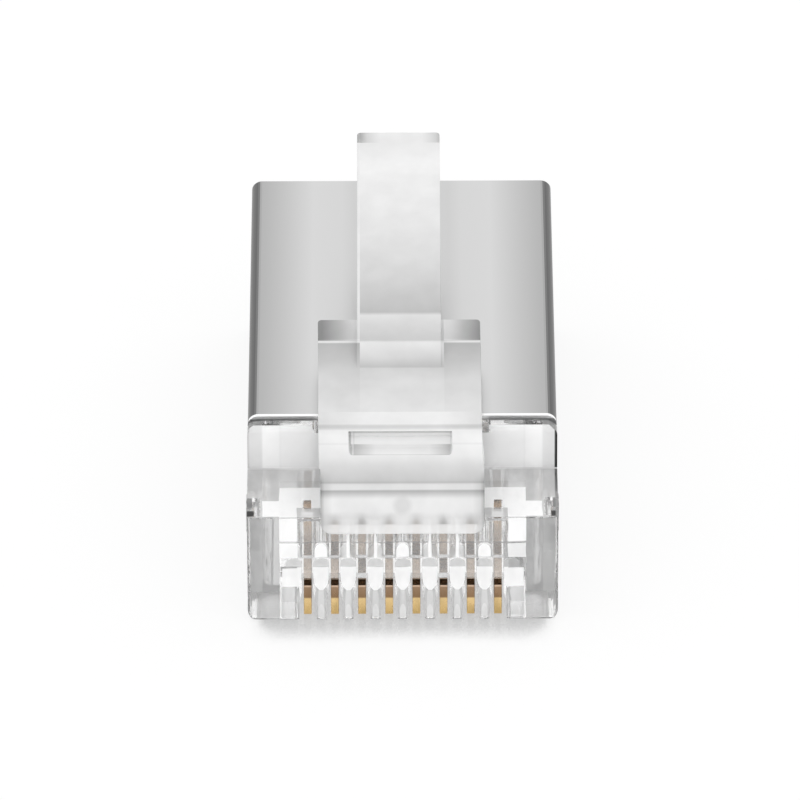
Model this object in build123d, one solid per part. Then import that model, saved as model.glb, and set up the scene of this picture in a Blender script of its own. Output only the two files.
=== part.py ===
from build123d import *
import os

os.makedirs("parts", exist_ok=True)

# Moulded body, in mm: X across, Y from the nose to the cable end, Z up from the contact face
body_width = 11.6
body_height = 6.6
body_length = 21.3
long_edge_radius = 0.4
ledge_drop = 2.0
ledge_height = body_height - ledge_drop
ledge_length = 3.5
ledge_edge_radius = 0.15
nose_edge_radius = 0.3
shoulder_radius = 0.25

# Wire cavity behind the nose wall, and the cable cavity behind it
nose_wall = 1.05
ledge_skin = 0.52
cavity_width = 9.2
cavity_roof = ledge_height - ledge_skin
wire_floor = 3.15
floor_lead = 0.3
funnel_front = 7.6
funnel_length = 3.4
cable_floor = 0.9
cable_roof_wall = 0.95
cable_roof = body_height - cable_roof_wall

# Channels in the wire floor, one over each contact, those of the low wires rounder and wider
channel_width = 0.56
channel_floor = 2.5
ridge_radius = 0.2
low_wire_radius = 0.46
low_wire_level = 2.8
channel_overrun = 0.5

# Contacts: eight blades on one pitch, the third and sixth under the low wires. The upper part of
# a blade stands behind the nose wall, a step back from the edge that touches the jack.
contact_count = 8
contact_pitch = 1.016
low_contacts = (3, 6)
blade_thickness = 0.3
blade_length = 5.8
blade_setback = 0.32
blade_floor = 0.06
blade_nose_radius = 0.22
blade_step_height = 1.43
blade_step_depth = 0.4
low_blade_drop = 0.44
prong_bite = 0.3
prong_width = 0.56
prong_tip = 0.16
prong_count = 3
prong_lead = 2.1
prong_pitch = 1.4

# Slots that hold the blades, open to the nose and the contact face
slot_clearance = 0.06
slot_mouth = 0.64
slot_mouth_height = 0.85
slot_neck_height = 1.35
slot_front_height = 1.95
slot_skin = 0.63
slot_lip_radius = 0.17
slot_rear = blade_setback + blade_length + slot_clearance

# Folded shield
sheet = 0.2
shield_clearance = 0.03
bare_nose = 4.0
side_gap = 0.3
notch_clearance = 0.05
notch_width = cavity_width + 2 * notch_clearance
notch_margin = 0.12
notch_rear = slot_rear + notch_margin
shield_inset = 0.02
rear_overhang = 0.1
seam_gap = 0.1
least_fold_radius = 0.1

# Fingers of the shield, one each side, hooked into the nose
finger_height = 1.1
finger_level = 2.7
finger_reach = 1.2
finger_proud = 0.06
finger_hook = 0.5
finger_corner_radius = 0.18
finger_crank_front = bare_nose - 0.2
finger_crank_rear = bare_nose + 0.1
finger_clearance = 0.05

# Bar that crimps on the cable, seen through a window in the shield
crimp_bar_front = 14.6
crimp_bar_length = 3.0
crimp_bar_width = 7.6
crimp_bar_gap = 0.35
crimp_bar_thickness = 0.75
crimp_bar_crest = 0.45
crimp_bar_crest_place = 0.6
window_margin = 0.5

# Latch: a strip that curves up and back from the nose, with shoulders and a finger tab
latch_width = 6.1
strip_thickness = 0.6
root_proud = 0.15
root_drop = 0.62
root_bottom = ledge_height - root_drop
root_corner_radius = 0.45
bend_radius = 3.25
bend_drop = 0.55
bend_level = ledge_height - bend_drop
strip_slope = 11.65
shoulder_reach = 8.0
shoulder_thickness = 1.1
shoulder_undercut = 0.5
shoulder_corner_radius = 0.15
thick_part_length = 3.3
tab_width = 3.15
tab_thickness = 1.0
tab_root_share = 0.9
tab_slope = 12.6
tab_reach = 17.7
tab_corner_radius = 0.15
rib_rise = 0.34
rib_ramp = 1.1
rib_length = 2.64
pocket_width = 3.85
pocket_depth = 0.3
pocket_low_angle = 55
pocket_high_angle = 74
root_gap = 0.06
relief_depth = 0.45
relief_clearance = 0.25

# Origin below the middle of the whole part's box
nose_face = -(body_length + rear_overhang - root_proud) / 2
fine = 0.01
overrun = 1.0
everywhere = 99


def back(depth):
    """Y of a point this far behind the nose face."""
    return nose_face + depth


def side_profile(points):
    """Closed outline in the YZ plane, from (depth, height) corners."""
    corners = [(back(depth), height) for depth, height in points]
    return Plane.YZ * make_face(Polyline(*corners, close=True))


def across(profile, width):
    """Solid of a side outline, centred on the middle plane."""
    return extrude(profile, amount=width / 2, both=True)


def block(width, front, rear, low, high, middle=0.0):
    """Box between two depths and two heights."""
    size = Box(width, rear - front, high - low)
    return Pos(middle, back((front + rear) / 2), (low + high) / 2) * size


def contact_place(number):
    """X of the middle of a blade, numbered from one side."""
    return (number - (contact_count + 1) / 2) * contact_pitch


def edges_along(shape, axis, low, high):
    """Edges parallel to an axis whose middles lie in a box."""
    chosen = ShapeList()
    for edge in shape.edges().filter_by(axis):
        middle = tuple(edge.center())
        if all(low[i] - fine <= middle[i] <= high[i] + fine for i in range(3)):
            chosen.append(edge)
    return chosen


def body_outline():
    """Outer block of the moulding, stepped in under the shield."""
    step = sheet + shield_clearance
    nose = block(body_width, 0, bare_nose, 0, body_height)
    nose = fillet(nose.edges().filter_by(Axis.Y), long_edge_radius)
    belly = block(notch_width - 2 * notch_clearance, 0, notch_rear - notch_clearance,
                  0, body_height / 2)
    core = block(body_width - 2 * (step + side_gap), 0, body_length, step, body_height - step)
    core = fillet(core.edges().filter_by(Axis.Y), long_edge_radius)
    return nose + belly + core


def ledge_cut():
    """Space over the low front of the nose."""
    space = block(body_width + overrun, -overrun, ledge_length, ledge_height,
                  body_height + overrun)
    lower_edge = edges_along(space, Axis.X, (-everywhere, back(ledge_length), ledge_height),
                             (everywhere, back(ledge_length), ledge_height))
    return fillet(lower_edge, ledge_edge_radius)


def cavity():
    """Wire cavity, funnel and cable cavity as one side outline."""
    funnel_rear = funnel_front + funnel_length
    rear = body_length + overrun
    outline = side_profile([
        (nose_wall, wire_floor), (nose_wall, cavity_roof), (funnel_front, cavity_roof),
        (funnel_rear, cable_roof), (rear, cable_roof), (rear, cable_floor),
        (funnel_front, cable_floor), (funnel_front, channel_floor),
        (funnel_front - floor_lead, wire_floor)])
    return across(outline, cavity_width)


def wire_channel(number):
    """Trough in the wire floor for one wire, with rounded ridges beside it."""
    middle = contact_place(number)
    length = funnel_front + channel_overrun - nose_wall
    if number in low_contacts:
        bar = Cylinder(low_wire_radius, length, rotation=(90, 0, 0))
        trough = Pos(middle, back(nose_wall + length / 2), low_wire_level) * bar
        return trough + block(2 * low_wire_radius, nose_wall, nose_wall + length,
                              low_wire_level, wire_floor + fine, middle)
    half = channel_width / 2
    lip = wire_floor - ridge_radius
    with BuildSketch(Plane.XZ.offset(-back(nose_wall))) as section:
        with BuildLine():
            Polyline((-half, lip), (-half, channel_floor), (half, channel_floor), (half, lip))
            RadiusArc((half, lip), (half + ridge_radius, wire_floor), ridge_radius)
            Polyline((half + ridge_radius, wire_floor), (half + ridge_radius, wire_floor + fine),
                     (-half - ridge_radius, wire_floor + fine), (-half - ridge_radius, wire_floor))
            RadiusArc((-half - ridge_radius, wire_floor), (-half, lip), ridge_radius)
        make_face()
    return Pos(middle, 0, 0) * extrude(section.sketch, amount=-length)


def slot(number):
    """Space for one blade: a waisted mouth at the nose and a narrow slit behind its skin."""
    half_mouth = slot_mouth / 2
    half_neck = blade_thickness / 2 + slot_clearance
    lip = slot_lip_radius
    with BuildSketch(Plane.XZ.offset(-back(-overrun))) as mouth:
        with BuildLine():
            right = [(half_mouth, lip), (half_mouth, slot_mouth_height),
                     (half_neck, slot_neck_height), (half_neck, slot_front_height)]
            left = [(-x, z) for x, z in reversed(right)]
            Polyline(*right, *left)
            RadiusArc((half_mouth, lip), (half_mouth + lip, 0), -lip)
            RadiusArc((-half_mouth, lip), (-half_mouth - lip, 0), lip)
            Polyline((half_mouth + lip, 0), (half_mouth + lip, -overrun),
                     (-half_mouth - lip, -overrun), (-half_mouth - lip, 0))
        make_face()
    open_part = extrude(mouth.sketch, amount=-(slot_rear + overrun))
    slit = block(2 * half_neck, slot_skin, slot_rear, -overrun, channel_floor + slot_clearance)
    return Pos(contact_place(number), 0, 0) * (open_part + slit)


def crimp_bar_cut():
    """Groove all round the cable bar, which hangs on the body by its rear edge."""
    front = crimp_bar_front
    rear = front + crimp_bar_length
    outer = block(crimp_bar_width, front, rear, -overrun, cable_floor + overrun)
    crest = (front + crimp_bar_length * crimp_bar_crest_place, crimp_bar_thickness + crimp_bar_crest)
    bar = side_profile([
        (front + crimp_bar_gap, -2 * overrun), (front + crimp_bar_gap, crimp_bar_thickness), crest,
        (rear + overrun, crimp_bar_thickness), (rear + overrun, -2 * overrun)])
    return outer - across(bar, crimp_bar_width - 2 * crimp_bar_gap)


def finger_pocket(side):
    """Recess in the nose for a shield finger and its hooked end."""
    half = body_width / 2
    low = finger_level - finger_height / 2 - finger_clearance
    high = finger_level + finger_height / 2 + finger_clearance
    tip = bare_nose - finger_reach
    depth = sheet + finger_clearance - finger_proud
    recess = block(2 * depth, tip - finger_clearance, bare_nose + overrun, low, high, side * half)
    hole = block(2 * (finger_hook + finger_clearance), tip - finger_clearance,
                 tip + sheet + finger_clearance, low, high, side * half)
    return recess + hole


def housing():
    shape = body_outline() - ledge_cut()
    top_front = edges_along(shape, Axis.X, (-everywhere, back(ledge_length), body_height),
                            (everywhere, back(ledge_length), body_height))
    shape = fillet(top_front, shoulder_radius)
    low_front = edges_along(shape, Axis.X, (-everywhere, back(0), 0), (everywhere, back(0), 0))
    shape = fillet(low_front, nose_edge_radius)
    shape -= cavity()
    for number in range(1, contact_count + 1):
        shape -= wire_channel(number)
        shape -= slot(number)
    shape -= crimp_bar_cut()
    for side in (-1, 1):
        shape -= finger_pocket(side)
    relief_width = latch_width + 2 * relief_clearance
    shape -= block(relief_width, -overrun, bare_nose + overrun, body_height - relief_depth,
                   body_height + overrun)
    return shape + root_pad()


def bend_point(angle, radius):
    """Point on the latch's bend, at an angle up from straight ahead."""
    ahead = Vector(-radius, 0).rotate(Axis.Z, -angle)
    centre = bend_radius - root_proud
    return (centre + ahead.X, bend_level + ahead.Y)


def root_pad():
    """Foot of the latch on the nose face, with its lower corners rounded."""
    pad = block(latch_width, -root_proud, nose_wall / 2, root_bottom, ledge_height - root_gap)
    corners = edges_along(pad, Axis.Y, (-everywhere, -everywhere, root_bottom),
                          (everywhere, everywhere, root_bottom))
    return fillet(corners, root_corner_radius)


def slope_rise(degrees):
    """Height gained per length on a slope."""
    direction = Vector(1, 0).rotate(Axis.Z, degrees)
    return direction.Y / direction.X


def strip_line(depth):
    """Height of the strip's outer face behind the bend."""
    start = bend_point(90 - strip_slope, bend_radius)
    return start[1] + (depth - start[0]) * slope_rise(strip_slope)


def along(start, degrees, length, lift=0.0):
    """Point reached from start along a slope, lifted square to it."""
    ahead = Vector(1, 0).rotate(Axis.Z, degrees)
    up = Vector(0, 1).rotate(Axis.Z, degrees)
    place = Vector(*start) + ahead * length + up * lift
    return (place.X, place.Y)


def latch_side():
    """Side outline of the strip with its shoulders."""
    end_angle = 90 - strip_slope
    outer_end = bend_point(end_angle, bend_radius)
    inner_radius = bend_radius - strip_thickness
    inner_end = bend_point(end_angle, inner_radius)
    top_rear = (shoulder_reach, strip_line(shoulder_reach))
    low_rear = along(top_rear, strip_slope, -shoulder_undercut, -shoulder_thickness)
    low_front = along(top_rear, strip_slope, -thick_part_length, -strip_thickness)
    root = ledge_height
    centre = bend_radius - root_proud
    inner_root = centre - (inner_radius**2 - (root - bend_level)**2) ** 0.5
    outer_root = centre - (bend_radius**2 - (root - bend_level)**2) ** 0.5
    half = end_angle / 2
    outer_arc = ((outer_root, root), bend_point(half, bend_radius), outer_end)
    inner_arc = (inner_end, bend_point(half, inner_radius), (inner_root, root))

    def place(point):
        return (back(point[0]), point[1])

    with BuildSketch(Plane.YZ) as outline:
        with BuildLine():
            ThreePointArc(*[place(p) for p in outer_arc])
            Polyline(place(outer_end), place(top_rear), place(low_rear), place(low_front),
                     place(inner_end))
            ThreePointArc(*[place(p) for p in inner_arc])
            Line(place((inner_root, root)), place((outer_root, root)))
        make_face()
    return outline.sketch


def tab_side():
    """Side outline of the finger tab and of the rib that carries it over the shoulders."""
    top_rear = (shoulder_reach, strip_line(shoulder_reach))
    foot = along(top_rear, strip_slope, -rib_length)
    buried = along(top_rear, strip_slope, -rib_length, -strip_thickness / 2)
    ramp_top = along(top_rear, strip_slope, -rib_length + rib_ramp, rib_rise)
    rib_end = along(top_rear, strip_slope, 0, rib_rise)
    length = (tab_reach - rib_end[0]) / Vector(1, 0).rotate(Axis.Z, tab_slope).X
    tip = along(rib_end, tab_slope, length)
    tip_low = along(rib_end, tab_slope, length, -tab_thickness)
    under = along(top_rear, strip_slope, -shoulder_undercut, -shoulder_thickness * tab_root_share)
    return side_profile([foot, ramp_top, rib_end, tip, tip_low, under, buried])


def pocket():
    """Shallow pocket in the outside of the bend."""
    wedge_reach = bend_radius + overrun
    centre = (bend_radius - root_proud, bend_level)
    low = bend_point(pocket_low_angle, wedge_reach)
    high = bend_point(pocket_high_angle, wedge_reach)
    wedge = across(side_profile([centre, low, high]), pocket_width)
    floor = Cylinder(bend_radius - pocket_depth, latch_width, rotation=(0, 90, 0))
    return wedge - Pos(0, back(centre[0]), centre[1]) * floor


def rear_corners(shape, width):
    """Edges at the two sides of a shape's rearmost face."""
    chosen = ShapeList()
    for edge in shape.faces().sort_by(Axis.Y)[-1].edges():
        if abs(edge.center().X) > width / 2 - fine:
            chosen.append(edge)
    return chosen


def latch():
    strip = across(latch_side(), latch_width)
    strip = fillet(rear_corners(strip, latch_width), shoulder_corner_radius)
    tab = across(tab_side(), tab_width)
    tab = fillet(rear_corners(tab, tab_width), tab_corner_radius)
    return strip + tab - pocket()


def contact(number):
    """One blade, with three prongs that pierce the wire above it."""
    top = channel_floor
    tip = wire_floor + prong_bite
    if number in low_contacts:
        top = low_wire_level - low_wire_radius - low_blade_drop
        tip = low_wire_level
    front = blade_setback
    inner = front + blade_step_depth
    rear = front + blade_length
    corners = [(front, blade_floor + blade_nose_radius), (front, blade_step_height),
               (inner, blade_step_height), (inner, top)]
    for index in range(prong_count):
        middle = front + prong_lead + index * prong_pitch
        corners += [(middle - prong_width / 2, top), (middle - prong_tip / 2, tip),
                    (middle + prong_tip / 2, tip), (middle + prong_width / 2, top)]
    corners += [(rear, top), (rear, blade_floor), (front + blade_nose_radius, blade_floor)]
    with BuildSketch(Plane.YZ) as outline:
        with BuildLine():
            places = [(back(depth), height) for depth, height in corners]
            Polyline(*places)
            RadiusArc(places[-1], places[0], blade_nose_radius)
        make_face()
    blade = extrude(outline.sketch, amount=blade_thickness / 2, both=True)
    return Pos(contact_place(number), 0, 0) * blade


def shield_ring(inset, front, rear):
    """Rounded sleeve of the shield's outside, taken in by inset."""
    width = body_width - 2 * shield_inset - 2 * inset
    ring = block(width, front, rear, inset, body_height - inset)
    return fillet(ring.edges().filter_by(Axis.Y),
                  max(long_edge_radius - inset, least_fold_radius))


def finger(side):
    """Strip reaching forward from the side wall, its end hooked into the nose."""
    outer = body_width / 2 + finger_proud
    tip = bare_nose - finger_reach
    inner = body_width / 2 - shield_inset - sheet
    with BuildSketch(Plane.XY) as outline:
        with BuildLine():
            Polyline((side * (outer - finger_hook), back(tip)), (side * outer, back(tip)),
                     (side * outer, back(finger_crank_front)),
                     (side * (inner + sheet), back(finger_crank_rear)),
                     (side * inner, back(finger_crank_rear)),
                     (side * (outer - sheet), back(finger_crank_front)),
                     (side * (outer - sheet), back(tip + sheet)),
                     (side * (outer - finger_hook), back(tip + sheet)), close=True)
        make_face()
    strip = extrude(outline.sketch, amount=finger_height)
    strip = fillet(edges_along(strip, Axis.Z, (side * outer, back(tip), -everywhere),
                               (side * outer, back(tip), everywhere)), finger_corner_radius)
    return Pos(0, 0, finger_level - finger_height / 2) * strip


def shield():
    rear = body_length + rear_overhang
    shell = shield_ring(0, bare_nose, rear)
    shell -= shield_ring(sheet, bare_nose - overrun, rear + overrun)
    shell -= block(notch_width, bare_nose - overrun, notch_rear, -overrun, overrun)
    shell -= block(seam_gap, 0, rear + overrun, -overrun, sheet + fine)
    window_front = crimp_bar_front - window_margin
    window_rear = crimp_bar_front + crimp_bar_length + window_margin
    window_width = crimp_bar_width + 2 * window_margin
    shell -= block(window_width, window_front, window_rear, -overrun, sheet + fine)
    for side in (-1, 1):
        shell += finger(side)
    return shell


parts = {"housing": housing(), "latch": latch(), "shield": shield()}
for number in range(1, contact_count + 1):
    parts[f"contact_{number}"] = contact(number)
for name, shape in parts.items():
    export_step(shape, f"parts/{name}.step")
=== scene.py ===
import math

import bmesh
import bpy
from mathutils import Matrix, Vector


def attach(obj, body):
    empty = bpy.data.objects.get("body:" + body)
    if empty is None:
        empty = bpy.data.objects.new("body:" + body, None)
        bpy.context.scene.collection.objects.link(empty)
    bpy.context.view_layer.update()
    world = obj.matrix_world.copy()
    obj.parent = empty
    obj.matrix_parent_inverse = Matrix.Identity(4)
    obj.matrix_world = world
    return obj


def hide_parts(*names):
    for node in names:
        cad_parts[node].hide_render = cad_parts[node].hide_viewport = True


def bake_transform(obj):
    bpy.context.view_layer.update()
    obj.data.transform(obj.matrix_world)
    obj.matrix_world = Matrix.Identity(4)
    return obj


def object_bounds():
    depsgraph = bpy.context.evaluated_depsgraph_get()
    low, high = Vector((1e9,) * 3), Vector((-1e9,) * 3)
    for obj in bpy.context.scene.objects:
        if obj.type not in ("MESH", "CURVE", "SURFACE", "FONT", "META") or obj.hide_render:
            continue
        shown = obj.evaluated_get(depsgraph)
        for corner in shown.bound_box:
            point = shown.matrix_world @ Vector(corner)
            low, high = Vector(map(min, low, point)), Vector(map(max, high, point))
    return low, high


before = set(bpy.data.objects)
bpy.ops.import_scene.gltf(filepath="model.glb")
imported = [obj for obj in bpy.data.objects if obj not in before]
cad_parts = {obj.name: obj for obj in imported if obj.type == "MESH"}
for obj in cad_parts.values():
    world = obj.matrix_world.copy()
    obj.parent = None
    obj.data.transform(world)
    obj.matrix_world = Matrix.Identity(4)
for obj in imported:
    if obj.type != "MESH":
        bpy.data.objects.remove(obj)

mm = 0.001
beyond = 30    # mm, well outside the plug, where cutters and outlines may end
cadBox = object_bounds()
print("frame loaded:", ", ".join(sorted(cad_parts)))

# Overall sizes of the plug in millimetres: depth is measured back from the nose face, height up
# from the contact side, and across is X.
plug = {
    "width": 11.6,
    "height": 6.6,
    "length": 21.3,
    "edgeRadius": 0.4,
    "rootProud": 0.15,
    "pitch": 1.016,
    "lowContacts": (3, 6),
}
noseY = cadBox[0][1] / mm + plug["rootProud"]


# Outlines are lists of (u, v) points in millimetres, drawn the long way round once.

# Outline with arcs at its corners, each of them (u, v) or (u, v, radius)
def rounded(corners, steps=8):
    points = []
    count = len(corners)
    for i, corner in enumerate(corners):
        here = Vector(corner[:2])
        radius = corner[2] if len(corner) > 2 else 0
        if not radius:
            points.append(here)
            continue
        toLast = (Vector(corners[i - 1][:2]) - here).normalized()
        toNext = (Vector(corners[(i + 1) % count][:2]) - here).normalized()
        halfTurn = toLast.angle(toNext) / 2
        reach = radius / math.tan(halfTurn)
        centre = here + (toLast + toNext).normalized() * (radius / math.sin(halfTurn))
        start = here + toLast * reach - centre
        end = here + toNext * reach - centre
        turn = start.angle_signed(end)
        for step in range(steps + 1):
            angle = -turn * step / steps
            c, s = math.cos(angle), math.sin(angle)
            points.append(centre + Vector((start.x * c - start.y * s, start.x * s + start.y * c)))
    return points


def arcPoints(centre, radius, startDegrees, endDegrees, steps):
    points = []
    for step in range(steps + 1):
        angle = math.radians(startDegrees + (endDegrees - startDegrees) * step / steps)
        points.append(Vector((centre[0] + radius * math.cos(angle),
                              centre[1] + radius * math.sin(angle))))
    return points


# Closed prism of an outline; way is side, front or top, the view that shows the outline
def solid(name, outline, way, low, high):
    def place(u, v, w):
        if way == "side":
            return (w * mm, (noseY + u) * mm, v * mm)
        if way == "front":
            return (u * mm, (noseY + w) * mm, v * mm)
        return (u * mm, (noseY + v) * mm, w * mm)

    bm = bmesh.new()
    rings = [[bm.verts.new(place(u, v, w)) for u, v in outline] for w in (low, high)]
    count = len(outline)
    bm.faces.new(rings[0])
    bm.faces.new(rings[1])
    for i in range(count):
        j = (i + 1) % count
        bm.faces.new((rings[0][i], rings[0][j], rings[1][j], rings[1][i]))
    bmesh.ops.recalc_face_normals(bm, faces=bm.faces)
    mesh = bpy.data.meshes.new(name)
    bm.to_mesh(mesh)
    bm.free()
    obj = bpy.data.objects.new(name, mesh)
    bpy.context.scene.collection.objects.link(obj)
    return obj


# Plain box between two x, two depths and two heights
def slab(name, across, depths, heights):
    corners = [(across[0], heights[0]), (across[1], heights[0]),
               (across[1], heights[1]), (across[0], heights[1])]
    return solid(name, [Vector(c) for c in corners], "front", *depths)


# Turns an object's modifiers into plain mesh
def settle(obj):
    bpy.context.view_layer.update()
    evaluated = obj.evaluated_get(bpy.context.evaluated_depsgraph_get())
    old = obj.data
    obj.data = bpy.data.meshes.new_from_object(evaluated)
    obj.modifiers.clear()
    bpy.data.meshes.remove(old)


# Boolean of target with each other solid, which is used up
def combine(target, others, operation):
    for other in others:
        modifier = target.modifiers.new("combine", "BOOLEAN")
        modifier.operation = operation
        modifier.solver = "MANIFOLD"
        modifier.object = other
        settle(target)
        bpy.data.objects.remove(other)
    return target


def cut(target, *others):
    return combine(target, others, "DIFFERENCE")


def fuse(target, *others):
    return combine(target, others, "UNION")


def overlap(target, *others):
    return combine(target, others, "INTERSECT")


def softenEdges(obj, width, segments=2, degrees=30):
    modifier = obj.modifiers.new("softEdges", "BEVEL")
    modifier.width = width * mm
    modifier.segments = segments
    modifier.limit_method = "ANGLE"
    modifier.angle_limit = math.radians(degrees)
    return modifier


# The clear moulding: body and latch are one piece of polycarbonate

body = {
    "ledgeHeight": 4.6,
    "ledgeLength": 3.5,
    "ledgeEdgeRadius": 0.15,
    "ledgeFrontRadius": 0.05,
    "noseEdgeRadius": 0.3,
    "noseSideRadius": 0.15,
    "noseLowCorner": 0.55,
    "shoulderRadius": 0.25,
    "noseTop": 6.42,
    "underShield": 0.23,
    "sideGap": 0.3,
    "bareNose": 4.0,
    "seam": 0.03,
    "contactSideBare": 6.3,
    "notchGap": 0.05,
    "coreStart": 0.5,
    "noseWall": 1.05,
    "cavityWidth": 9.2,
    "cavityRoof": 4.08,
    "wireFloor": 3.15,
    "funnelFront": 7.6,
    "funnelLength": 3.4,
    "wireRamp": 0.3,
    "cableFloor": 0.9,
    "cableHeight": 4.75,
    "channelWidth": 0.56,
    "channelFloor": 2.5,
    "ridgeRadius": 0.2,
    "lowWireRadius": 0.46,
    "lowWireLevel": 2.8,
}

crimpBar = {
    "front": 14.6,
    "length": 3.0,
    "width": 7.6,
    "gap": 0.35,
    "thickness": 0.75,
    "crest": 0.45,
    "crestPlace": 0.6,
}

slot = {
    "blade": 0.3,
    "clearance": 0.06,
    "mouth": 0.64,
    "mouthHeight": 0.85,
    "neckHeight": 1.35,
    "frontHeight": 1.95,
    "skin": 0.63,
    "lipRadius": 0.17,
    "setback": 0.32,
    "length": 5.8,
}

latch = {
    "width": 6.1,
    "thickness": 0.6,
    "rootBottom": 3.98,
    "rootFaces": 3.99,
    "rootCornerRadius": 0.45,
    "bendRadius": 3.25,
    "bendLevel": 4.05,
    "slope": 11.65,
    "shoulderReach": 8.0,
    "shoulderThickness": 1.1,
    "shoulderUndercut": 0.5,
    "cornerRadius": 0.15,
    "thickLength": 3.3,
    "tabWidth": 3.15,
    "tabThickness": 1.0,
    "tabSlope": 12.6,
    "tabReach": 17.7,
    "ribRise": 0.34,
    "ribRamp": 1.1,
    "ribLength": 2.64,
    "lean": -0.11,
    "leanFrom": 6.3,
    "leanOver": 3.5,
    "pocketWidth": 3.85,
    "pocketDepth": 0.3,
    "pocketAngles": (52.7, 71),
    "pocketCorner": 0.14,
    "reliefDepth": 0.45,
    "reliefClearance": 0.25,
    "edge": 0.07,
}


def contactPlace(number):
    return (number - 4.5) * plug["pitch"]


def sectionOutline(width, low, high, radius):
    half = width / 2
    return rounded([(-half, low, radius), (half, low, radius),
                    (half, high, radius), (-half, high, radius)])


def makeBody():
    step = body["underShield"]
    height = plug["height"]
    width = plug["width"]
    high, low = plug["edgeRadius"], body["noseLowCorner"]
    section = rounded([(-width / 2, 0, low), (width / 2, 0, low),
                       (width / 2, body["noseTop"], high), (-width / 2, body["noseTop"], high)])
    nose = solid("clearMoulding", section, "front", 0, body["bareNose"] - body["seam"])
    bellyHalf = shield["notchWidth"] / 2 - body["notchGap"]
    belly = slab("belly", (-bellyHalf, bellyHalf),
                 (body["coreStart"], body["contactSideBare"] - body["notchGap"]),
                 (0, height / 2))
    core = solid("core", sectionOutline(width - 2 * step - 2 * body["sideGap"], step,
                                        height - step, plug["edgeRadius"]),
                 "front", body["coreStart"], plug["length"])
    shape = fuse(nose, belly, core)
    top = body["noseTop"]
    sideOutline = rounded([(0, 0, body["noseEdgeRadius"]), (beyond, 0), (beyond, top),
                           (body["ledgeLength"], top, body["shoulderRadius"]),
                           (body["ledgeLength"], body["ledgeHeight"], body["ledgeEdgeRadius"]),
                           (0, body["ledgeHeight"], body["ledgeFrontRadius"])])
    half = width / 2
    planOutline = rounded([(-half, 0, body["noseSideRadius"]), (half, 0, body["noseSideRadius"]),
                           (half, beyond), (-half, beyond)])
    overlap(shape, solid("side", sideOutline, "side", -beyond, beyond),
            solid("plan", planOutline, "top", -beyond, beyond))
    return shape


def makeCavity():
    cavityHalf = body["cavityWidth"] / 2
    funnelRear = body["funnelFront"] + body["funnelLength"]
    roof = body["cableFloor"] + body["cableHeight"]
    lowFloor = body["channelFloor"]
    rampFront = body["funnelFront"] - body["wireRamp"]
    outline = [(body["noseWall"], body["wireFloor"]), (rampFront, body["wireFloor"]),
               (body["funnelFront"], lowFloor), (body["funnelFront"], body["cableFloor"]),
               (beyond, body["cableFloor"]), (beyond, roof), (funnelRear, roof),
               (body["funnelFront"], body["cavityRoof"]), (body["noseWall"], body["cavityRoof"])]
    return solid("cavity", [Vector(p) for p in outline], "side", -cavityHalf, cavityHalf)


# Outline from its right half, in x from a contact's middle
def bothSides(right, centre):
    return [Vector((centre + p.x, p.y)) for p in right] + \
        [Vector((centre - p.x, p.y)) for p in reversed(right)]


def makeWireGroove(number):
    centre = contactPlace(number)
    front = body["noseWall"]
    rear = body["funnelFront"] + 0.5
    if number in plug["lowContacts"]:
        circle = arcPoints((centre, body["lowWireLevel"]), body["lowWireRadius"], 180, 360, 30)
        top = body["wireFloor"] + 0.2
        outline = circle + [Vector((circle[-1].x, top)), Vector((circle[0].x, top))]
        return solid("groove", outline, "front", front, rear)
    half = body["channelWidth"] / 2
    ridge = body["ridgeRadius"]
    shoulder = body["wireFloor"] - ridge
    right = [Vector((half, body["channelFloor"]))]
    right += arcPoints((half + ridge, shoulder), ridge, 180, 90, 8)
    right += [Vector((half + ridge, body["wireFloor"] + 0.2))]
    return solid("groove", bothSides(right, centre), "front", front, rear)


def makeSlot(number):
    centre = contactPlace(number)
    mouth = slot["mouth"] / 2
    neck = slot["blade"] / 2 + slot["clearance"]
    lip = slot["lipRadius"]
    rear = slot["setback"] + slot["length"] + slot["clearance"]
    right = [Vector((mouth + lip, -1))]
    right += arcPoints((mouth + lip, lip), lip, -90, -180, 6)
    right += [Vector(p) for p in ((mouth, slot["mouthHeight"]), (neck, slot["neckHeight"]),
                                  (neck, slot["frontHeight"]))]
    wide = solid("mouth", bothSides(right, centre), "front", -1, rear)
    top = body["channelFloor"] + 0.1
    slit = slab("slit", (centre - neck, centre + neck), (slot["skin"], rear), (-1, top))
    return fuse(wide, slit)


# Groove all round the cable bar, which hangs on the body by its rear edge
def makeCrimpGroove():
    front = crimpBar["front"]
    rear = front + crimpBar["length"]
    half = crimpBar["width"] / 2
    gap = crimpBar["gap"]
    thickness = crimpBar["thickness"]
    crest = front + crimpBar["length"] * crimpBar["crestPlace"]
    outline = [(front + gap, -2), (front + gap, thickness), (crest, thickness + crimpBar["crest"]),
               (rear + 1, thickness), (rear + 1, -2)]
    groove = slab("groove", (-half, half), (front, rear), (-1, body["cableFloor"] + 1))
    return cut(groove, solid("bar", [Vector(p) for p in outline], "side", gap - half, half - gap))


# Recess in the nose for a shield finger and its hooked end
def makeFingerPocket(side):
    half = plug["width"] / 2
    room = shield["fingerRoom"]
    low = shield["fingerLevel"] - shield["fingerHeight"] / 2 - room
    high = low + shield["fingerHeight"] + 2 * room
    tip = body["bareNose"] - shield["fingerReach"] - room
    inner = half - shield["sheet"] - room + shield["fingerProud"]
    hookInner = half - shield["fingerHook"] - room
    across = sorted((side * inner, side * (half + 1)))
    hookAcross = sorted((side * hookInner, side * (half + 1)))
    return fuse(slab("pocket", across, (tip, body["bareNose"] + 1), (low, high)),
                slab("hook", hookAcross, (tip, tip + shield["sheet"] + 2 * room), (low, high)))


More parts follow.
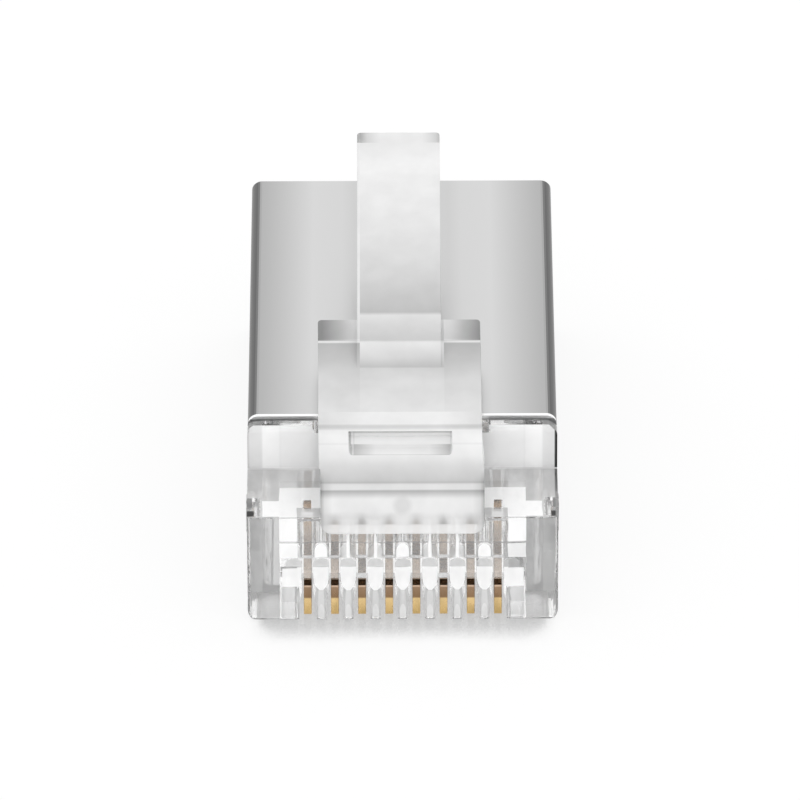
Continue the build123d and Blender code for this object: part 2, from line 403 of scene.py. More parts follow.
def alongSlope(start, degrees, length, lift=0.0):
    angle = math.radians(degrees)
    ahead = Vector((math.cos(angle), math.sin(angle)))
    up = Vector((-math.sin(angle), math.cos(angle)))
    return Vector(start) + ahead * length + up * lift


def makeLatch():
    centre = Vector((latch["bendRadius"] - plug["rootProud"], latch["bendLevel"]))
    outerRadius = latch["bendRadius"]
    innerRadius = outerRadius - latch["thickness"]
    endAngle = 90 + latch["slope"]
    outerArc = arcPoints(centre, outerRadius, 180, endAngle, 48)
    innerArc = arcPoints(centre, innerRadius, endAngle, 180, 40)
    bendEnd = outerArc[-1]
    run = (latch["shoulderReach"] - bendEnd.x) / math.cos(math.radians(latch["slope"]))
    topRear = alongSlope(bendEnd, latch["slope"], run)

    # point on the strip, from its top rear edge
    def onStrip(back, lift=0.0):
        return alongSlope(topRear, latch["slope"], -back, lift)

    lowRear = onStrip(latch["shoulderUndercut"], -latch["shoulderThickness"])
    lowFront = onStrip(latch["thickLength"], -latch["thickness"])
    rootLow = [Vector((innerArc[-1].x, latch["rootBottom"])),
               Vector((outerArc[0].x, latch["rootBottom"]))]
    outline = outerArc + [topRear, lowRear, lowFront] + innerArc + rootLow
    half = latch["width"] / 2
    strip = solid("strip", outline, "side", -half, half)
    cornerRadius = latch["rootCornerRadius"]
    front = rounded([(-half, latch["rootBottom"], cornerRadius),
                     (half, latch["rootBottom"], cornerRadius), (half, beyond), (-half, beyond)])
    overlap(strip, solid("frontOutline", front, "front", -beyond, beyond))
    plan = rounded([(-half, -beyond), (half, -beyond),
                    (half, topRear.x, latch["cornerRadius"]),
                    (-half, topRear.x, latch["cornerRadius"])])
    overlap(strip, solid("planOutline", plan, "top", -beyond, beyond))
    ribFoot = onStrip(latch["ribLength"])
    ribBuried = onStrip(latch["ribLength"], -latch["thickness"] / 2)
    rampTop = onStrip(latch["ribLength"] - latch["ribRamp"], latch["ribRise"])
    ribEnd = onStrip(0, latch["ribRise"])
    length = (latch["tabReach"] - ribEnd.x) / math.cos(math.radians(latch["tabSlope"]))
    tip = alongSlope(ribEnd, latch["tabSlope"], length)
    tipLow = alongSlope(ribEnd, latch["tabSlope"], length, -latch["tabThickness"])
    under = onStrip(latch["shoulderUndercut"], -latch["shoulderThickness"] * 0.9)
    tabHalf = latch["tabWidth"] / 2
    tab = solid("tab", [ribFoot, rampTop, ribEnd, tip, tipLow, under, ribBuried],
                "side", -tabHalf, tabHalf)
    tabPlan = rounded([(-tabHalf, 0), (tabHalf, 0), (tabHalf, tip.x, latch["cornerRadius"]),
                       (-tabHalf, tip.x, latch["cornerRadius"])])
    overlap(tab, solid("tabPlan", tabPlan, "top", -beyond, beyond))
    shape = fuse(strip, tab)
    low, high = latch["pocketAngles"]
    pocket = [Vector(p) for p in arcPoints(centre, outerRadius + 1, 180 - low, 180 - high, 12)]
    pocket += arcPoints(centre, outerRadius - latch["pocketDepth"], 180 - high, 180 - low, 12)
    pocketHalf = latch["pocketWidth"] / 2
    lowest = centre.y + outerRadius * math.sin(math.radians(low))
    edges = rounded([(-pocketHalf, lowest, latch["pocketCorner"]),
                     (pocketHalf, lowest, latch["pocketCorner"]),
                     (pocketHalf, beyond), (-pocketHalf, beyond)])
    cut(shape, overlap(solid("pocket", pocket, "side", -pocketHalf, pocketHalf),
                       solid("pocketEdges", edges, "front", -beyond, beyond)))
    softenEdges(shape, latch["edge"], 3)
    settle(shape)
    return shape


def makeClearMoulding():
    shape = makeBody()
    cut(shape, makeCavity())
    for number in range(1, 9):
        cut(shape, makeWireGroove(number), makeSlot(number))
    reliefHalf = latch["width"] / 2 + latch["reliefClearance"]
    cut(shape, slab("relief", (-reliefHalf, reliefHalf), (1, body["bareNose"] + 1),
                    (plug["height"] - latch["reliefDepth"], 10)))
    cut(shape, makeCrimpGroove(), makeFingerPocket(-1), makeFingerPocket(1))
    fuse(shape, makeLatch())
    # only what stands above the nose leans, more the higher it is
    for vertex in shape.data.vertices:
        height = vertex.co.z / mm
        if height > latch["leanFrom"]:
            share = min((height - body["ledgeHeight"]) / latch["leanOver"], 1)
            vertex.co.x += latch["lean"] * mm * share
    shape.name = "clearMoulding"
    return shape


# Contact blades: bronze, gold on the edge that touches the jack

blade = {
    "thickness": 0.3,
    "length": 5.8,
    "setback": 0.32,
    "floor": 0.06,
    "noseRadius": 0.22,
    "stepHeight": 1.43,
    "stepDepth": 0.4,
    "topHeight": 2.5,
    "tipHeight": 3.45,
    "lowTopHeight": 1.9,
    "lowTipHeight": 2.8,
    "prongWidth": 0.56,
    "prongTip": 0.16,
    "prongLead": 2.1,
    "prongPitch": 1.4,
    "edge": 0.02,
}


def makeBlade(number):
    low = number in plug["lowContacts"]
    top = blade["lowTopHeight"] if low else blade["topHeight"]
    tip = blade["lowTipHeight"] if low else blade["tipHeight"]
    front = blade["setback"]
    rear = front + blade["length"]
    inner = front + blade["stepDepth"]
    outline = [(front, blade["floor"], blade["noseRadius"]), (rear, blade["floor"], 0.1),
               (rear, top, 0.1)]
    for index in reversed(range(3)):
        middle = front + blade["prongLead"] + index * blade["prongPitch"]
        outline += [(middle + blade["prongWidth"] / 2, top), (middle + blade["prongTip"] / 2, tip),
                    (middle - blade["prongTip"] / 2, tip), (middle - blade["prongWidth"] / 2, top)]
    outline += [(inner, top, 0.05), (inner, blade["stepHeight"], 0.05),
                (front, blade["stepHeight"], 0.03)]
    centre = contactPlace(number)
    half = blade["thickness"] / 2
    obj = solid(f"contactBlade{number}", rounded(outline), "side", centre - half, centre + half)
    softenEdges(obj, blade["edge"])
    settle(obj)
    return obj


# Nickel-plated shield, folded from sheet

shield = {
    "sheet": 0.2,
    "inset": 0.02,
    "rear": 21.4,
    "notchWidth": 9.3,
    "seam": 0.1,
    "windowWidth": 8.6,
    "windowFront": 14.1,
    "windowRear": 18.1,
    "fingerHeight": 1.1,
    "fingerLevel": 2.7,
    "fingerReach": 1.2,
    "fingerProud": 0.06,
    "fingerHook": 0.5,
    "fingerRoom": 0.05,
    "edge": 0.03,
}


def makeShield():
    front = body["bareNose"]
    rear = shield["rear"]
    sheet = shield["sheet"]
    width = plug["width"] - 2 * shield["inset"]
    height = plug["height"]
    radius = plug["edgeRadius"]
    shell = solid("metalShield", sectionOutline(width, 0, height, radius), "front", front, rear)
    inner = solid("inner", sectionOutline(width - 2 * sheet, sheet, height - sheet,
                                          radius - sheet), "front", front - 1, rear + 1)
    notchHalf = shield["notchWidth"] / 2
    cut(shell, inner,
        slab("bare", (-notchHalf, notchHalf), (front - 1, body["contactSideBare"]), (-1, 1)),
        slab("seam", (-shield["seam"] / 2, shield["seam"] / 2), (0, rear + 1), (-1, sheet + 0.01)),
        slab("window", (-shield["windowWidth"] / 2, shield["windowWidth"] / 2),
             (shield["windowFront"], shield["windowRear"]), (-1, sheet + 0.01)))
    outer = plug["width"] / 2 + shield["fingerProud"]
    tip = front - shield["fingerReach"]
    low = shield["fingerLevel"] - shield["fingerHeight"] / 2
    for side in (-1, 1):
        plan = [(outer - shield["fingerHook"], tip), (outer, tip, sheet * 0.9),
                (outer, front - 0.2), (width / 2, front + 0.1), (width / 2 - sheet, front + 0.1),
                (outer - sheet, front - 0.2), (outer - sheet, tip + sheet),
                (outer - shield["fingerHook"], tip + sheet)]
        plan = [(side * p[0],) + tuple(p[1:]) for p in plan]
        fuse(shell, solid("finger", rounded(plan), "top", low, low + shield["fingerHeight"]))
    softenEdges(shell, shield["edge"], 2, 40)
    return shell


# Materials: every pattern is made in object space and counted in millimetres

finish = {
    "index": 1.585,
    "polishedRoughness": 0.03,
    "polishedHaze": 0.02,
    "coreRoughness": 0.05,
    "coreHaze": 0.03,
    "stepRoughness": 0.3,
    "stepHaze": 0.7,
    "undersideHaze": 0.4,
    "latchRoughness": 0.05,
    "latchHaze": 0.78,
    "edgeHaze": 0.1,
    "noseThrough": 0.04,
    "translucent": 0.12,
    "cloudSize": 1.4,
    "milk": 1.0,
}

# Painted light and shade on the latch: light and dark bands where its slope changes, painted
# highlights and painted shade, as (level, grey).
# Levels are in mm from a point in the plug, along a line that leans back from upright by slope.
latchBands = {
    "slope": 31.4,
    "zeroDepth": 7.57,
    "zeroHeight": 5.1,
    "tab": [(10.2, 0.95), (9.83, 0.93), (9.4, 0.95), (8.9, 1.0), (8.67, 1.0), (8.52, 0.97),
            (6.62, 0.90), (4.77, 0.79), (3.85, 0.68), (3.27, 0.59), (3.23, 0.92), (2.45, 0.73),
            (2.22, 0.69), (2.18, 1.0), (1.6, 0.84), (1.25, 0.64), (1.19, 0.76), (0.7, 0.84),
            (-0.40, 0.89)],
    "wing": [(3.0, 0.74), (2.26, 0.66), (2.22, 1.0), (2.18, 1.0), (2.14, 0.55), (1.5, 0.64),
             (0.7, 0.80), (-0.40, 0.86)],
    "bend": [(-0.47, 1.0), (-0.90, 1.0), (-0.95, 0.70), (-1.05, 0.72), (-1.09, 1.0),
             (-1.18, 1.0), (-1.60, 1.0), (-1.63, 0.90), (-1.68, 1.0), (-2.1, 0.95),
             (-2.45, 0.81), (-2.9, 0.72), (-3.04, 0.66), (-3.09, 0.50), (-3.13, 0.91),
             (-3.32, 0.90), (-3.37, 0.52), (-3.5, 0.72), (-3.66, 1.0), (-4.2, 1.0),
             (-4.61, 0.84), (-4.66, 0.95), (-4.9, 1.0)],
    "pocket": [(-1.0, 0.5), (-1.19, 0.55), (-1.22, 0.98), (-1.37, 1.0), (-1.39, 0.74),
               (-1.41, 0.74), (-1.43, 1.0), (-1.62, 1.0), (-1.65, 0.86), (-2.0, 1.0),
               (-2.03, 0.6)],
    "span": (-5.5, 10.5),
    "bendTop": -0.435,
    "wingFrom": 2.24,
    "wingSide": [(1.6, 1.3), (2.3, 0.8), (3.0, 0.42)],
    "tipFrom": 9.83,
    "tipSide": [(0.8, 1.0), (1.3, 0.8), (1.56, 0.5)],
    "highSide": [(1.4, 1.0), (2.9, 0.84)],
    "highLevels": (-1.3, -0.9),
    "lowSide": [(2.6, 1.0), (2.9, 0.82), (3.04, 0.5)],
    "lowLevels": (-3.2, -2.6),
    "markLevel": -3.92,
    "markRadius": 0.34,
    "markEdge": (-0.12, 0.08),
    "markGrey": 0.86,
    "bladeShade": 0.66,
    "bladeEdge": (0.03, 0.3),
    "bladeLevels": (-4.55, -4.15),
    "bladeLowest": -4.62,
    "bladeReach": 2.8,
    "pocketMiddle": -1.635,
    "pocketSide": [(1.0, 1.0), (1.8, 0.64), (1.83, 0.9), (1.92, 0.6)],
    "pocketRim": [(1.78, 1.0), (1.80, 0.78), (1.83, 1.0), (1.90, 1.0), (1.92, 0.6)],
}


def newMaterial(name):
    material = bpy.data.materials.new(name)
    material.use_nodes = True
    tree = material.node_tree
    return material, tree, tree.nodes["Principled BSDF"]


# Object coordinates in millimetres, stretched by one factor for each axis
def placeInMm(tree, stretch=(1, 1, 1)):
    place = tree.nodes.new("ShaderNodeTexCoord")
    mapping = tree.nodes.new("ShaderNodeMapping")
    mapping.inputs["Scale"].default_value = [factor / mm for factor in stretch]
    tree.links.new(place.outputs["Object"], mapping.inputs["Vector"])
    return mapping.outputs["Vector"]


def noise(tree, size, detail=3, stretch=(1, 1, 1)):
    cloud = tree.nodes.new("ShaderNodeTexNoise")
    cloud.inputs["Scale"].default_value = 1 / size
    cloud.inputs["Detail"].default_value = detail
    tree.links.new(placeInMm(tree, stretch), cloud.inputs["Vector"])
    return cloud.outputs["Fac"]


def spread(tree, value, low, high, fromLow=0.3, fromHigh=0.7):
    span = tree.nodes.new("ShaderNodeMapRange")
    span.inputs["From Min"].default_value = fromLow
    span.inputs["From Max"].default_value = fromHigh
    span.inputs["To Min"].default_value = low
    span.inputs["To Max"].default_value = high
    tree.links.new(value, span.inputs["Value"])
    return span.outputs["Result"]


def bump(tree, height, strength, distance):
    node = tree.nodes.new("ShaderNodeBump")
    node.inputs["Strength"].default_value = strength
    node.inputs["Distance"].default_value = distance * mm
    tree.links.new(height, node.inputs["Height"])
    return node.outputs["Normal"]


def ramp(tree, value, stops):
    node = tree.nodes.new("ShaderNodeValToRGB")
    elements = node.color_ramp.elements
    while len(elements) > 1:
        elements.remove(elements[-1])
    elements[0].position = stops[0][0]
    elements[0].color = tuple(stops[0][1]) + (1,)
    for position, colour in stops[1:]:
        elements.new(position).color = tuple(colour) + (1,)
    tree.links.new(value, node.inputs["Fac"])
    return node.outputs["Color"]


def grey(value):
    return (value, value, value)


# Colours along a length in mm, from stops of (place in mm, colour)
def coloursAlong(tree, value, stops):
    last = stops[-1][0]
    share = math2(tree, "DIVIDE", value, last)
    return ramp(tree, share, [(at / last, colour) for at, colour in stops])


def greysAlong(tree, value, stops):
    return coloursAlong(tree, value, [(at, grey(shade)) for at, shade in stops])


def axisOf(tree, vector, axis):
    split = tree.nodes.new("ShaderNodeSeparateXYZ")
    tree.links.new(vector, split.inputs[0])
    return split.outputs[axis]


# Gives a socket a number, a colour or another node's output
def feed(tree, socket, value):
    if isinstance(value, (int, float)):
        socket.default_value = value
    elif isinstance(value, tuple):
        socket.default_value = value + (1,)
    else:
        tree.links.new(value, socket)


def math2(tree, operation, first, second=0.0):
    node = tree.nodes.new("ShaderNodeMath")
    node.operation = operation
    feed(tree, node.inputs[0], first)
    feed(tree, node.inputs[1], second)
    return node.outputs[0]


def times(tree, first, second):
    return math2(tree, "MULTIPLY", first, second)


def isAbove(tree, value, limit):
    return math2(tree, "GREATER_THAN", value, limit)


def isBelow(tree, value, limit):
    return math2(tree, "LESS_THAN", value, limit)


def within(tree, value, low, high):
    return times(tree, isAbove(tree, value, low), isBelow(tree, value, high))


def mixNumber(tree, share, first, second):
    node = tree.nodes.new("ShaderNodeMix")
    feed(tree, node.inputs["Factor"], share)
    feed(tree, node.inputs["A"], first)
    feed(tree, node.inputs["B"], second)
    return node.outputs[0]


def mixColour(tree, share, first, second, blend="MIX"):
    node = tree.nodes.new("ShaderNodeMix")
    node.data_type = "RGBA"
    node.blend_type = blend
    feed(tree, node.inputs["Factor"], share)
    feed(tree, node.inputs[6], first)
    feed(tree, node.inputs[7], second)
    return node.outputs[2]


def shaded(tree, colour, shade):
    return mixColour(tree, 1.0, colour, shade, "MULTIPLY")


# Clear polycarbonate with some milk in it; the milk's grey can carry painted shade
def clearPlastic(name, roughness, haze, paintedShade=None, frostAndShade=None, through=None):
    material, tree, shader = newMaterial(name)
    cloud = noise(tree, finish["cloudSize"])
    if frostAndShade:
        share, shade = frostAndShade(tree)
    else:
        share = spread(tree, cloud, haze * 0.95, haze * 1.05)
        shade = paintedShade(tree) if paintedShade else grey(finish["milk"])
    grain = noise(tree, 0.12, 2)
    skin = bump(tree, cloud, 0.02, 0.03)
    shader.inputs["Base Color"].default_value = (1, 1, 1, 1)
    shader.inputs["Transmission Weight"].default_value = 1.0
    shader.inputs["IOR"].default_value = finish["index"]
    rough = spread(tree, grain, roughness * 0.7, roughness * 1.3)
    tree.links.new(rough, shader.inputs["Roughness"])
    tree.links.new(skin, shader.inputs["Normal"])
    bounce = tree.nodes.new("ShaderNodeBsdfDiffuse")
    passing = tree.nodes.new("ShaderNodeBsdfTranslucent")
    milk = tree.nodes.new("ShaderNodeMixShader")
    mixed = tree.nodes.new("ShaderNodeMixShader")
    feed(tree, bounce.inputs["Color"], shade)
    feed(tree, passing.inputs["Color"], shade)
    milk.inputs["Fac"].default_value = finish["translucent"] if through is None else through
    tree.links.new(bounce.outputs[0], milk.inputs[1])
    tree.links.new(passing.outputs[0], milk.inputs[2])
    tree.links.new(share, mixed.inputs["Fac"])
    tree.links.new(shader.outputs[0], mixed.inputs[1])
    tree.links.new(milk.outputs[0], mixed.inputs[2])
    tree.links.new(mixed.outputs[0], tree.nodes["Material Output"].inputs["Surface"])
    return material


def bandRamp(tree, level, stops):
    low, high = latchBands["span"]
    share = math2(tree, "DIVIDE", math2(tree, "SUBTRACT", level, low), high - low)
    ordered = sorted(((at - low) / (high - low), grey(value)) for at, value in stops)
    return ramp(tree, share, ordered)


def latchLevel(tree, place):
    slope = math.radians(latchBands["slope"])
    above = math2(tree, "SUBTRACT", axisOf(tree, place, "Z"), latchBands["zeroHeight"])
    behind = math2(tree, "SUBTRACT", axisOf(tree, place, "Y"), noseY + latchBands["zeroDepth"])
    rise = times(tree, above, math.cos(slope))
    run = times(tree, behind, math.sin(slope))
    return math2(tree, "ADD", rise, run)


# Round ejector mark low on the bend
def ejectorMark(tree, level, away):
    below = math2(tree, "SUBTRACT", level, latchBands["markLevel"])
    squares = math2(tree, "ADD", math2(tree, "POWER", away, 2.0),
                    math2(tree, "POWER", below, 2.0))
    radius = latchBands["markRadius"]
    inner, outer = latchBands["markEdge"]
    return spread(tree, math2(tree, "SQRT", squares), latchBands["markGrey"], 1.0,
                  radius + inner, radius + outer)


# Distance from the nearest blade's middle, as a share of the pitch, 0.5 between two blades
def fromNearestBlade(tree, x):
    inPitch = math2(tree, "FRACT", math2(tree, "DIVIDE", x, plug["pitch"]))
    return math2(tree, "ABSOLUTE", math2(tree, "SUBTRACT", inPitch, 0.5))


# The blades shade the foot of the latch from behind
def bladeShadow(tree, level, away, x):
    shadow = spread(tree, fromNearestBlade(tree, x), latchBands["bladeShade"], 1.0,
                    *latchBands["bladeEdge"])
    fade = times(tree, spread(tree, level, 1.0, 0.0, *latchBands["bladeLevels"]),
                 isAbove(tree, level, latchBands["bladeLowest"]))
    fade = times(tree, fade, isBelow(tree, away, latchBands["bladeReach"]))
    return mixNumber(tree, fade, 1.0, shadow)


# Painted light and shade in the latch's milk: bands along it, darker toward its sides and corners,
# with the ejector mark and the blades' shade
def latchPaintedShade(tree):
    place = placeInMm(tree)
    level = latchLevel(tree, place)
    x = axisOf(tree, place, "X")
    away = math2(tree, "ABSOLUTE", x)
    onWing = isAbove(tree, away, latch["tabWidth"] / 2 + 0.005)
    inBend = isBelow(tree, level, latchBands["bendTop"])
    inWingBand = times(tree, onWing, isAbove(tree, level, latchBands["wingFrom"]))
    inTipBand = isAbove(tree, level, latchBands["tipFrom"])
    # painted shade: the bend is darker toward its sides, and the wing and tip bands are darker
    # toward their corners
    bendSide = mixColour(tree, spread(tree, level, 1.0, 0.0, *latchBands["lowLevels"]),
                         grey(1.0), greysAlong(tree, away, latchBands["lowSide"]))
    bendSide = mixColour(tree, spread(tree, level, 0.0, 1.0, *latchBands["highLevels"]),
                         bendSide, greysAlong(tree, away, latchBands["highSide"]))
    colour = mixColour(tree, onWing, bandRamp(tree, level, latchBands["tab"]),
                       bandRamp(tree, level, latchBands["wing"]))
    colour = mixColour(tree, inWingBand, colour,
                       greysAlong(tree, away, latchBands["wingSide"]), "MULTIPLY")
    colour = mixColour(tree, inTipBand, colour,
                       greysAlong(tree, away, latchBands["tipSide"]), "MULTIPLY")
    bend = shaded(tree, bandRamp(tree, level, latchBands["bend"]), bendSide)
    marks = times(tree, ejectorMark(tree, level, away), bladeShadow(tree, level, away, x))
    bend = shaded(tree, bend, marks)
    cloudy = spread(tree, noise(tree, 1.1, 2), 0.97, 1.02)
    return shaded(tree, mixColour(tree, inBend, colour, bend), cloudy)


# Painted shade in the pocket of the latch: dark lines at its rims and walls, darker toward its
# sides
def pocketPaintedShade(tree):
    place = placeInMm(tree)
    level = latchLevel(tree, place)
    away = math2(tree, "ABSOLUTE", axisOf(tree, place, "X"))
    lowHalf = isBelow(tree, level, latchBands["pocketMiddle"])
    across = mixColour(tree, lowHalf, greysAlong(tree, away, latchBands["pocketRim"]),
                       greysAlong(tree, away, latchBands["pocketSide"]))
    return shaded(tree, bandRamp(tree, level, latchBands["pocket"]), across)


# The mould leaves the nose clear in some places and frosted white in others; the greys between are
# painted shade, where the nose lies in shade or shows dark parts through it.
# A zone is (from the middle, along, haze, grey) and, for an arch on each rib, its half width.
# Along is depth on the ledge and height on the nose face. Later zones lie over earlier ones.
noseFrostAndShade = {
    "ledgeBase": (0.7, 0.74),
    "ledge": [
        ((5.24, 6.0), (-1, 4), 0.7, 0.66),
        ((-1, 4.6), (2.15, 2.6), 0.72, 0.64),
        ((-1, 4.6), (0.7, 2.13), 0.97, 1.0),
        ((3.93, 4.6), (-1, 0.71), 0.97, 1.0),
        ((4.58, 5.22), (0.1, 1.18), 0.97, 1.0),
        ((5.30, 6.0), (0.0, 1.4), 0.15, 1.0),
        # painted shade: dark patches where the shield's hooked fingers show through
        ((5.55, 6.0), (0.12, 0.50), 0.9, 0.06),
        ((5.62, 5.9), (0.75, 1.38), 0.8, 0.25),
        ((5.34, 5.42), (0.15, 1.3), 0.8, 0.4),
        ((3.40, 3.73), (0.62, 1.24), 0.08, 1.0),
    ],
    "frontBase": (0.2, 1.0),
    "front": [
        ((4.6, 5.24), (1.35, 4.7), 0.66, 0.43),
        ((5.24, 5.9), (1.35, 4.7), 0.66, 0.52),
        ((3.93, 4.6), (3.58, 4.7), 0.9, 1.0),
        ((-1, 4.6), (3.49, 3.56), 0.5, 0.45),
        ((3.93, 4.6), (2.85, 3.48), 0.8, 1.0),
        ((-1, 4.6), (2.42, 2.82), 0.6, 0.60, 0.31),
        ((-1, 3.93), (2.84, 3.48), 0.45, 0.62, 0.31),
        ((0.9, 2.2), (2.84, 4.0), 0.9, 1.0, 0.06),
        ((2.7, 3.4), (2.88, 3.46), 0.92, 1.0, 0.24),
        ((-1, 0.3), (2.88, 3.46), 0.92, 1.0, 0.24),
        ((3.9, 4.52), (1.58, 2.40), 0.9, 1.0),
        ((3.95, 4.52), (0.9, 1.57), 0.4, 0.6),
        ((-1, 3.95), (0.03, 1.95), 0.62, 0.5, 0.24),
        ((-1, 3.95), (0.08, 1.80), 0.6, 0.7, 0.12),
        ((-1, 3.95), (0.08, 0.80), 0.6, 0.84, 0.12),
        ((-1, 3.95), (2.44, 1.42), 0.9, 1.0, 0.29),
    ],
    "archEnd": 0.95,
    "archPower": 5.0,
    "wobble": 0.05,
    # painted shade: a dark line along the nose's right edge
    "rightEdge": 0.9,
    "rightEdgeFrom": (5.68, 5.72),
    "rightEdgeGrey": (0.35, 0.06),
    "rightEdgeDepths": (1.2, 3.0),
    "riserHaze": 0.96,
    "riserAcross": [(3.05, 0.84), (3.3, 0.94), (3.5, 1.0), (4.5, 0.97), (4.57, 0.93), (4.63, 1.0),
                    (5.2, 1.0), (5.28, 0.86), (5.7, 0.80), (5.8, 0.6)],
    "riserUp": [(4.6, 0.72), (4.75, 0.97), (4.9, 1.0), (6.2, 1.0), (6.4, 0.9)],
    "riserRightEdge": 0.04,
    "edgeHaze": 0.6,
    "edgeGrey": (0.16, 0.34),
}


# Haze and painted shade of the shaded point, from a list of zones
def frostAndShadeMap(tree, zones, base, alongAxis):
    place = placeInMm(tree)
    sway = spread(tree, noise(tree, 1.5, 1), -noseFrostAndShade["wobble"] / 2, noseFrostAndShade["wobble"] / 2)
    x = axisOf(tree, place, "X")
    away = math2(tree, "ADD", math2(tree, "ABSOLUTE", x), sway)
    fromRib = times(tree, math2(tree, "SUBTRACT", 0.5, fromNearestBlade(tree, x)), plug["pitch"])
    along = axisOf(tree, place, alongAxis)
    if alongAxis == "Y":
        along = math2(tree, "SUBTRACT", along, noseY)
    along = math2(tree, "ADD", along, sway)
    # painted shade: a dark line along the right edge of the ledge
    rightEdge = spread(tree, x, 0.0, noseFrostAndShade["rightEdge"], *noseFrostAndShade["rightEdgeFrom"])
    haze, shade = base
    for across, reach, zoneHaze, zoneGrey, *rib in zones:
        inZone = times(tree, within(tree, away, *across),
                       within(tree, along, min(reach), max(reach)))
        if rib:    # narrower toward the second value of reach
            arch = math2(tree, "POWER", spread(tree, along, 0.0, noseFrostAndShade["archEnd"], *reach),
                         noseFrostAndShade["archPower"])
            wide = times(tree, math2(tree, "SUBTRACT", 1.0, arch), rib[0])
            inZone = times(tree, inZone, isBelow(tree, fromRib, wide))
        haze = mixNumber(tree, inZone, haze, zoneHaze)
        shade = mixNumber(tree, inZone, shade, zoneGrey)
    streaks = spread(tree, noise(tree, 0.4, 2, (1, 0.6, 0.25)), 0.95, 1.05)
    cloudy = math2(tree, "MINIMUM", times(tree, shade, streaks), 1.0)
    if alongAxis == "Y":
        edgeShade = spread(tree, along, *noseFrostAndShade["rightEdgeGrey"],
                           *noseFrostAndShade["rightEdgeDepths"])
        cloudy = mixNumber(tree, rightEdge, cloudy, edgeShade)
    return haze, cloudy


def ledgeFrostAndShade(tree):
    return frostAndShadeMap(tree, noseFrostAndShade["ledge"], noseFrostAndShade["ledgeBase"], "Y")


def frontFrostAndShade(tree):
    return frostAndShadeMap(tree, noseFrostAndShade["front"], noseFrostAndShade["frontBase"], "Z")


# Painted shade: the nose's rounded lower and side edges show as dark lines
def edgePaintedShade(tree):
    low, high = noseFrostAndShade["edgeGrey"]
    return ramp(tree, noise(tree, 0.3, 2, (1, 0.3, 0.3)), [(0.35, grey(low)), (0.65, grey(high))])


# Painted shade on the riser: darker beside the latch, at its outer edges, toward its foot and
# along its right edge
def riserPaintedShade(tree):
    place = placeInMm(tree)
    x = axisOf(tree, place, "X")
    across = greysAlong(tree, math2(tree, "ABSOLUTE", x), noseFrostAndShade["riserAcross"])
    upward = greysAlong(tree, axisOf(tree, place, "Z"), noseFrostAndShade["riserUp"])
    rightEdge = spread(tree, x, 1.0, noseFrostAndShade["riserRightEdge"], *noseFrostAndShade["rightEdgeFrom"])
    return shaded(tree, shaded(tree, across, upward), rightEdge)


# Nickel greys: across and flank are painted shade, rim is a painted highlight, hook is the painted
# dark reflection of the finger ends
plating = {
    "across": [(1.80, 0.56), (2.28, 0.60), (3.402, 0.613), (3.93, 0.558), (4.452, 0.50),
               (5.238, 0.42), (5.58, 0.40)],
    "flank": 0.25,
    "rim": 0.98,
    "rimLength": 0.14,
    "rimHeight": 6.46,
    "hook": (0.03, 0.5),
    "roughness": 0.3,
    "insideRoughness": 0.15,
}


# Nickel on rolled sheet, a fine grain front to back; painted shade makes it lighter over the
# middle and dark on the walls
def nickelPlate():
    material, tree, shader = newMaterial("nickelPlate")
    place = placeInMm(tree)
    away = math2(tree, "ABSOLUTE", axisOf(tree, place, "X"))
    shade = greysAlong(tree, away, plating["across"])
    facing = tree.nodes.new("ShaderNodeNewGeometry").outputs["Normal"]
    sideways = math2(tree, "ABSOLUTE", axisOf(tree, facing, "X"))
    edge = ramp(tree, sideways, [(0.05, grey(1)), (0.35, grey(plating["flank"])),
                                 (0.97, grey(plating["flank"])), (1.0, grey(0.8))])
    # painted highlight: the sheet's cut edge is bright, on its top and the upper part of its front
    depth = math2(tree, "SUBTRACT", axisOf(tree, place, "Y"), noseY + body["bareNose"])
    upper = math2(tree, "MAXIMUM", isAbove(tree, axisOf(tree, facing, "Z"), 0.3),
                  isAbove(tree, axisOf(tree, place, "Z"), plating["rimHeight"]))
    onRim = times(tree, isBelow(tree, depth, plating["rimLength"]), upper)
    colour = mixColour(tree, onRim, shaded(tree, shade, edge), grey(plating["rim"]))
    grain = noise(tree, 0.05, 3, (1, 0.03, 1))
    low, high = plating["roughness"] * 0.95, plating["roughness"] * 1.05
    tree.links.new(colour, shader.inputs["Base Color"])
    tree.links.new(spread(tree, grain, low, high), shader.inputs["Roughness"])
    tree.links.new(bump(tree, grain, 0.02, 0.005), shader.inputs["Normal"])
    shader.inputs["Metallic"].default_value = 1.0
    return material


# Metal in one colour, a little uneven; cloud is the size, detail and stretch of its noise
def plainMetal(name, cloud, stops, roughness):
    material, tree, shader = newMaterial(name)
    grain = noise(tree, *cloud)
    tree.links.new(ramp(tree, grain, stops), shader.inputs["Base Color"])
    tree.links.new(spread(tree, grain, roughness * 0.9, roughness * 1.1),
                   shader.inputs["Roughness"])
    shader.inputs["Metallic"].default_value = 1.0
    return material


# Colours up the blade, height in mm: gold where it meets the jack, bare bronze above; painted
# shade darkens the bronze just above the gold, and at the step a painted highlight lies over a
# painted dark line
gildingAndPaintedLight = {
    "stops": [
        (0.10, (0.97, 0.67, 0.28)),
        (0.84, (0.92, 0.67, 0.33)),
        (0.90, (0.32, 0.20, 0.11)),
        (1.34, (0.38, 0.25, 0.16)),
        (1.36, (0.68, 0.50, 0.37)),
        (1.42, (0.68, 0.50, 0.37)),
        (1.425, (0.14, 0.08, 0.04)),
        (1.44, (0.14, 0.08, 0.04)),
        (1.46, (0.54, 0.45, 0.37)),
        (3.0, (0.48, 0.36, 0.26)),
        (3.2, (0.55, 0.38, 0.24)),
    ],
    # painted light: the blades' flat sides are bronze painted nearly white
    "sides": [(0.3, (0.90, 0.84, 0.78)), (0.7, (0.96, 0.91, 0.86))],
    "roughness": 0.25,
}


